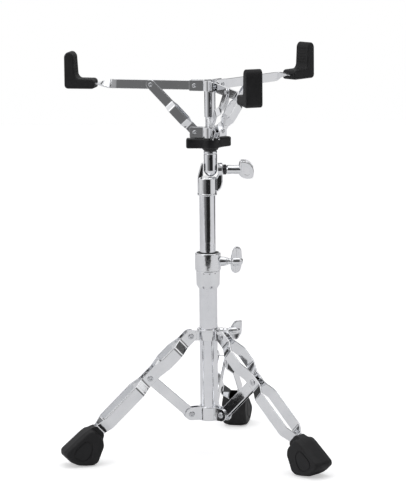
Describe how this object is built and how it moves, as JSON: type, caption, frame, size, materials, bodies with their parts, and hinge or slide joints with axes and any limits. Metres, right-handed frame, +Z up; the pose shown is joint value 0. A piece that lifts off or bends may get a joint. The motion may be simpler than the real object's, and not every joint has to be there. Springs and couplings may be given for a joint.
{
  "type": "snare drum stand",
  "caption": "Folding chromed steel stand for a snare drum: tripod with double-strip legs, telescoping column, tilter and a three-arm basket with rubber grips.",
  "frame": {"origin": "on the floor, at the middle of the bounding box; the column's axis stands at x=0.0235 m, y=-0.0083 m", "axes": "+Z up along the column; the wing bolt of the height clamp and the tilter's T handle point along +X"},
  "size_m": [0.4262, 0.4681, 0.644],
  "materials": {
    "chrome": "bright chrome plate on steel",
    "rubber": "moulded black rubber, matt",
    "nylon": "moulded black nylon, satin"
  },
  "bodies": {
    "base": {"base_tube": "chrome", "lower_collar": "chrome", "height_clamp": "chrome", "lower_rivet_left": "chrome", "lower_rivet_right": "chrome", "lower_rivet_back": "chrome"},
    "clamp_bolt": {"clamp_wing_bolt": "chrome"},
    "bush": {"clamp_bush": "nylon"},
    "upper": {"upper_tube": "chrome", "tilter_body": "chrome"},
    "tilter_screw": {"tilter_bolt": "chrome"},
    "mast_body": {"mast": "chrome", "basket_rod": "chrome", "upper_hub": "chrome", "upper_hub_rivet_left": "chrome", "upper_hub_rivet_right": "chrome", "upper_hub_rivet_front": "chrome"},
    "knob": {"basket_knob": "nylon"},
    "lower_hub_body": {"lower_hub": "chrome", "lower_hub_rivet_left": "chrome", "lower_hub_rivet_right": "chrome", "lower_hub_rivet_front": "chrome"},
    "collar": {"leg_collar": "chrome"},
    "collar_bolt": {"leg_wing_bolt": "chrome"},
    "brace_left_body": {"brace_left": "chrome"},
    "leg_left_body": {"leg_left_strip_a": "chrome", "leg_left_strip_b": "chrome", "foot_left": "rubber", "upper_rivet_left": "chrome", "middle_rivet_left": "chrome"},
    "brace_right_body": {"brace_right": "chrome"},
    "leg_right_body": {"leg_right_strip_a": "chrome", "leg_right_strip_b": "chrome", "foot_right": "rubber", "upper_rivet_right": "chrome", "middle_rivet_right": "chrome"},
    "brace_back_body": {"brace_back": "chrome"},
    "leg_back_body": {"leg_back_strip_a": "chrome", "leg_back_strip_b": "chrome", "foot_back": "rubber", "upper_rivet_back": "chrome", "middle_rivet_back": "chrome"},
    "arm_left_body": {"arm_left": "chrome", "grip_left": "rubber"},
    "strut_left_body": {"strut_left_a": "chrome", "strut_left_b": "chrome", "strut_rivet_left_a": "chrome", "strut_rivet_left_b": "chrome"},
    "arm_right_body": {"arm_right": "chrome", "grip_right": "rubber"},
    "strut_right_body": {"strut_right_a": "chrome", "strut_right_b": "chrome", "strut_rivet_right_a": "chrome", "strut_rivet_right_b": "chrome"},
    "arm_front_body": {"arm_front": "chrome", "grip_front": "rubber"},
    "strut_front_body": {"strut_front_a": "chrome", "strut_front_b": "chrome", "strut_rivet_front_a": "chrome", "strut_rivet_front_b": "chrome"}
  },
  "joints": [
    {"name": "legs_fold", "type": "hinge", "parent": "base", "child": "brace_left_body", "pos_m": [-0.00661, -0.01764, 0.0693], "axis": [-0.2957, 0.9553, 0], "range_deg": [0, 42]},
    {"name": "leg_left_fold", "type": "hinge", "parent": "brace_left_body", "child": "leg_left_body", "pos_m": [-0.07186, -0.03783, 0.1325], "axis": [-0.2957, 0.9553, 0], "range_deg": [-84, 0]},
    {"name": "brace_right_fold", "type": "hinge", "parent": "base", "child": "brace_right_body", "pos_m": [0.04659, -0.02972, 0.0693], "axis": [-0.6794, -0.7337, 0], "range_deg": [0, 42]},
    {"name": "leg_right_fold", "type": "hinge", "parent": "brace_right_body", "child": "leg_right_body", "pos_m": [0.0967, -0.07613, 0.1325], "axis": [-0.6794, -0.7337, 0], "range_deg": [-84, 0]},
    {"name": "brace_back_fold", "type": "hinge", "parent": "base", "child": "brace_back_body", "pos_m": [0.03046, 0.0224, 0.0693], "axis": [0.9751, -0.2215, 0], "range_deg": [0, 42]},
    {"name": "leg_back_fold", "type": "hinge", "parent": "brace_back_body", "child": "leg_back_body", "pos_m": [0.04559, 0.089, 0.1325], "axis": [0.9751, -0.2215, 0], "range_deg": [-84, 0]},
    {"name": "collar_travel", "type": "hinge", "parent": "leg_left_body", "child": "collar", "pos_m": [-0.00661, -0.01764, 0.1957], "axis": [-0.2957, 0.9553, 0], "range_deg": [0, 42]},
    {"name": "leg_bolt_turn", "type": "hinge", "parent": "collar", "child": "collar_bolt", "pos_m": [0.02348, -0.00832, 0.199], "axis": [0.9553, 0.2957, 0], "continuous": true},
    {"name": "clamp_bolt_turn", "type": "hinge", "parent": "base", "child": "clamp_bolt", "pos_m": [0.02348, -0.00832, 0.3136], "axis": [1, 0, 0], "continuous": true},
    {"name": "swivel", "type": "hinge", "parent": "base", "child": "bush", "pos_m": [0.02348, -0.00832, 0.3136], "axis": [0, 0, 1], "continuous": true},
    {"name": "height", "type": "slide", "parent": "bush", "child": "upper", "axis": [0, 0, 1], "range_m": [-0.085, 0.1]},
    {"name": "tilter_bolt_turn", "type": "hinge", "parent": "upper", "child": "tilter_screw", "pos_m": [0.02348, -0.00832, 0.4607], "axis": [1, 0, 0], "continuous": true},
    {"name": "tilt", "type": "hinge", "parent": "upper", "child": "mast_body", "pos_m": [0.02898, -0.00832, 0.4607], "axis": [1, 0, 0], "range_deg": [-30, 30]},
    {"name": "knob_turn", "type": "hinge", "parent": "mast_body", "child": "knob", "pos_m": [0.02898, -0.00832, 0.4954], "axis": [0, 0, 1], "continuous": true},
    {"name": "basket_close", "type": "slide", "parent": "mast_body", "child": "lower_hub_body", "axis": [0, 0, 1], "range_m": [0, 0.04193]},
    {"name": "arm_left_fold", "type": "hinge", "parent": "mast_body", "child": "arm_left_body", "pos_m": [0.00594, -0.00275, 0.5942], "axis": [0.2351, 0.972, 0], "range_deg": [-0.01, 75.01]},
    {"name": "strut_left_fold", "type": "hinge", "parent": "lower_hub_body", "child": "strut_left_body", "pos_m": [0.00594, -0.00275, 0.5201], "axis": [0.2351, 0.972, 0], "range_deg": [-0.01, 33.7]},
    {"name": "arm_right_fold", "type": "hinge", "parent": "mast_body", "child": "arm_right_body", "pos_m": [0.04532, 0.00884, 0.5942], "axis": [0.7242, -0.6896, 0], "range_deg": [-0.01, 75.01]},
    {"name": "strut_right_fold", "type": "hinge", "parent": "lower_hub_body", "child": "strut_right_body", "pos_m": [0.04532, 0.00884, 0.5201], "axis": [0.7242, -0.6896, 0], "range_deg": [-0.01, 33.7]},
    {"name": "arm_front_fold", "type": "hinge", "parent": "mast_body", "child": "arm_front_body", "pos_m": [0.03567, -0.03106, 0.5942], "axis": [-0.9593, -0.2823, 0], "range_deg": [-0.01, 75.01]},
    {"name": "strut_front_fold", "type": "hinge", "parent": "lower_hub_body", "child": "strut_front_body", "pos_m": [0.03567, -0.03106, 0.5201], "axis": [-0.9593, -0.2823, 0], "range_deg": [-0.01, 33.7]}
  ],
  "couplings": [
    {"joint": "leg_left_fold", "follows": "legs_fold", "ratio": -2},
    {"joint": "brace_right_fold", "follows": "legs_fold", "ratio": 1},
    {"joint": "leg_right_fold", "follows": "legs_fold", "ratio": -2},
    {"joint": "brace_back_fold", "follows": "legs_fold", "ratio": 1},
    {"joint": "leg_back_fold", "follows": "legs_fold", "ratio": -2},
    {"joint": "collar_travel", "follows": "legs_fold", "ratio": 1},
    {"joint": "arm_left_fold", "follows": "basket_close", "rad_per_m": 31.219},
    {"joint": "strut_left_fold", "follows": "basket_close", "rad_per_m": 14.023},
    {"joint": "arm_right_fold", "follows": "basket_close", "rad_per_m": 31.219},
    {"joint": "strut_right_fold", "follows": "basket_close", "rad_per_m": 14.023},
    {"joint": "arm_front_fold", "follows": "basket_close", "rad_per_m": 31.219},
    {"joint": "strut_front_fold", "follows": "basket_close", "rad_per_m": 14.023}
  ]
}
